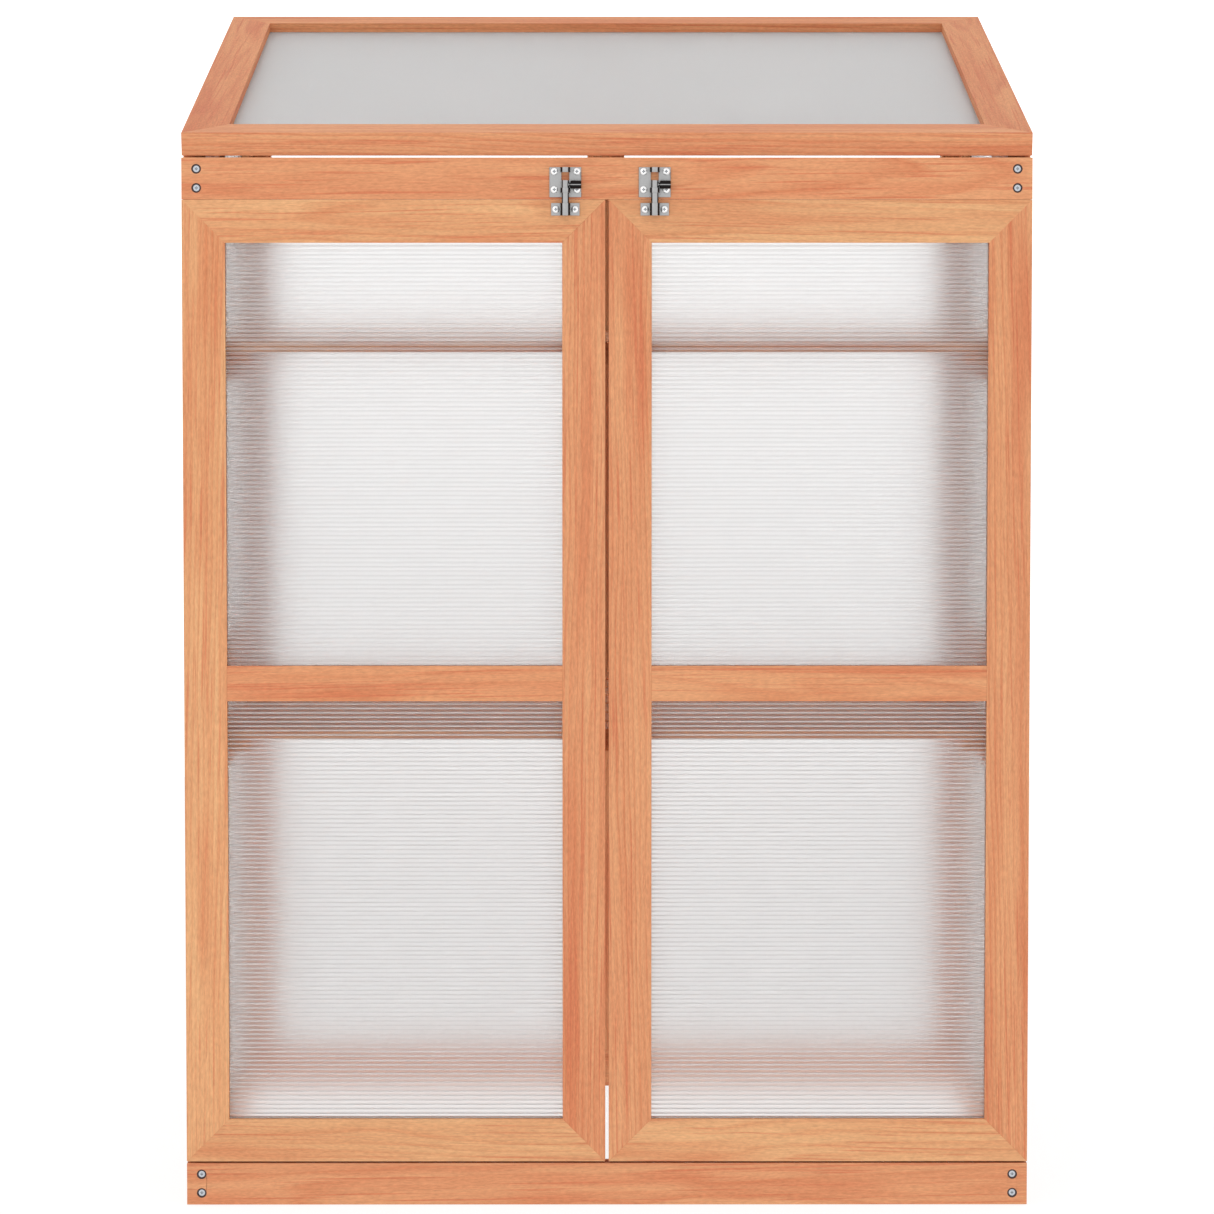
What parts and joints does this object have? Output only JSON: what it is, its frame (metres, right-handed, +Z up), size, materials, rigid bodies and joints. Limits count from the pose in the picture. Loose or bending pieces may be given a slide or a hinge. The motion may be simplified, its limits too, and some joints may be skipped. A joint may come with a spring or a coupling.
{
  "type": "cold frame",
  "caption": "Wooden cold frame with twin-wall panes, double front doors on bolts, a sloped hinged lid and loose slatted shelves.",
  "frame": {"origin": "middle of the base, on the floor", "axes": "+Z up, -Y towards the doors, X across the doors"},
  "size_m": [0.76, 0.6166, 1.099],
  "materials": {
    "fir_wood": "orange-stained softwood, satin",
    "twin_wall_pane": "translucent milky twin-wall polycarbonate",
    "zinc": "zinc-plated sheet steel",
    "steel": "bright zinc-plated screws",
    "dark_steel": "darkened steel"
  },
  "bodies": {
    "frame": {"back_bottom_rail": "fir_wood", "back_centre_stile": "fir_wood", "back_left_stile": "fir_wood", "back_panes": "twin_wall_pane", "back_right_stile": "fir_wood", "back_top_rail": "fir_wood", "bolt_plates": "zinc", "frame_hinge_leaves": "zinc", "frame_screws": "steel", "front_bottom_rail": "fir_wood", "front_top_rail": "fir_wood", "hinge_pins": "steel", "left_side_back_stile": "fir_wood", "left_side_bottom_rail": "fir_wood", "left_side_front_stile": "fir_wood", "left_side_mid_rail": "fir_wood", "left_side_panes": "twin_wall_pane", "left_side_top_rail": "fir_wood", "lid_stay_track": "zinc", "right_side_back_stile": "fir_wood", "right_side_bottom_rail": "fir_wood", "right_side_front_stile": "fir_wood", "right_side_mid_rail": "fir_wood", "right_side_panes": "twin_wall_pane", "right_side_top_rail": "fir_wood", "shelf_cleats": "fir_wood"},
    "lid": {"lid_back_rail": "fir_wood", "lid_front_rail": "fir_wood", "lid_hinge_leaves": "zinc", "lid_left_rail": "fir_wood", "lid_pane": "twin_wall_pane", "lid_right_rail": "fir_wood", "lid_screws": "steel", "lid_stay_bracket": "zinc", "lid_stay_pivot": "steel"},
    "lid_stay": {"lid_stay_arm": "zinc"},
    "left_door": {"left_door_bolt_keeper": "zinc", "left_door_bottom_rail": "fir_wood", "left_door_hinge_leaves": "zinc", "left_door_hinge_stile": "fir_wood", "left_door_meeting_stile": "fir_wood", "left_door_mid_rail": "fir_wood", "left_door_panes": "twin_wall_pane", "left_door_screws": "steel", "left_door_top_rail": "fir_wood"},
    "right_door": {"right_door_bolt_keeper": "zinc", "right_door_bottom_rail": "fir_wood", "right_door_hinge_leaves": "zinc", "right_door_hinge_stile": "fir_wood", "right_door_meeting_stile": "fir_wood", "right_door_mid_rail": "fir_wood", "right_door_panes": "twin_wall_pane", "right_door_screws": "steel", "right_door_top_rail": "fir_wood"},
    "left_bolt": {"left_bolt": "dark_steel"},
    "right_bolt": {"right_bolt": "dark_steel"},
    "upper_shelf": {"upper_shelf_slats": "fir_wood", "upper_shelf_battens": "fir_wood"},
    "lower_shelf": {"lower_shelf_slats": "fir_wood", "lower_shelf_battens": "fir_wood"}
  },
  "joints": [
    {"name": "left_door_hinge", "type": "hinge", "parent": "frame", "child": "left_door", "pos_m": [-0.3781, -0.282, 0.47], "axis": [0, 0, -1], "range_deg": [0, 110]},
    {"name": "right_door_hinge", "type": "hinge", "parent": "frame", "child": "right_door", "pos_m": [0.3781, -0.282, 0.47], "axis": [0, 0, 1], "range_deg": [0, 110]},
    {"name": "lid_hinge", "type": "hinge", "parent": "frame", "child": "lid", "pos_m": [0, 0.3033, 1.07821], "axis": [-1, 0, 0], "range_deg": [0, 55]},
    {"name": "lid_stay_pivot", "type": "hinge", "parent": "lid", "child": "lid_stay", "pos_m": [-0.355, 0.0523, 1.00925], "axis": [1, 0, 0], "range_deg": [0, 110]},
    {"name": "left_bolt_slide", "type": "slide", "parent": "frame", "child": "left_bolt", "axis": [0, 0, 1], "range_m": [0, 0.0073]},
    {"name": "right_bolt_slide", "type": "slide", "parent": "frame", "child": "right_bolt", "axis": [0, 0, 1], "range_m": [0, 0.0073]},
    {"name": "upper_shelf_lift", "type": "slide", "parent": "frame", "child": "upper_shelf", "axis": [0, 0, 1], "range_m": [0, 0.08]},
    {"name": "lower_shelf_lift", "type": "slide", "parent": "frame", "child": "lower_shelf", "axis": [0, 0, 1], "range_m": [0, 0.08]}
  ],
  "couplings": [
    {"joint": "lid_stay_pivot", "follows": "lid_hinge", "ratio": 2}
  ]
}
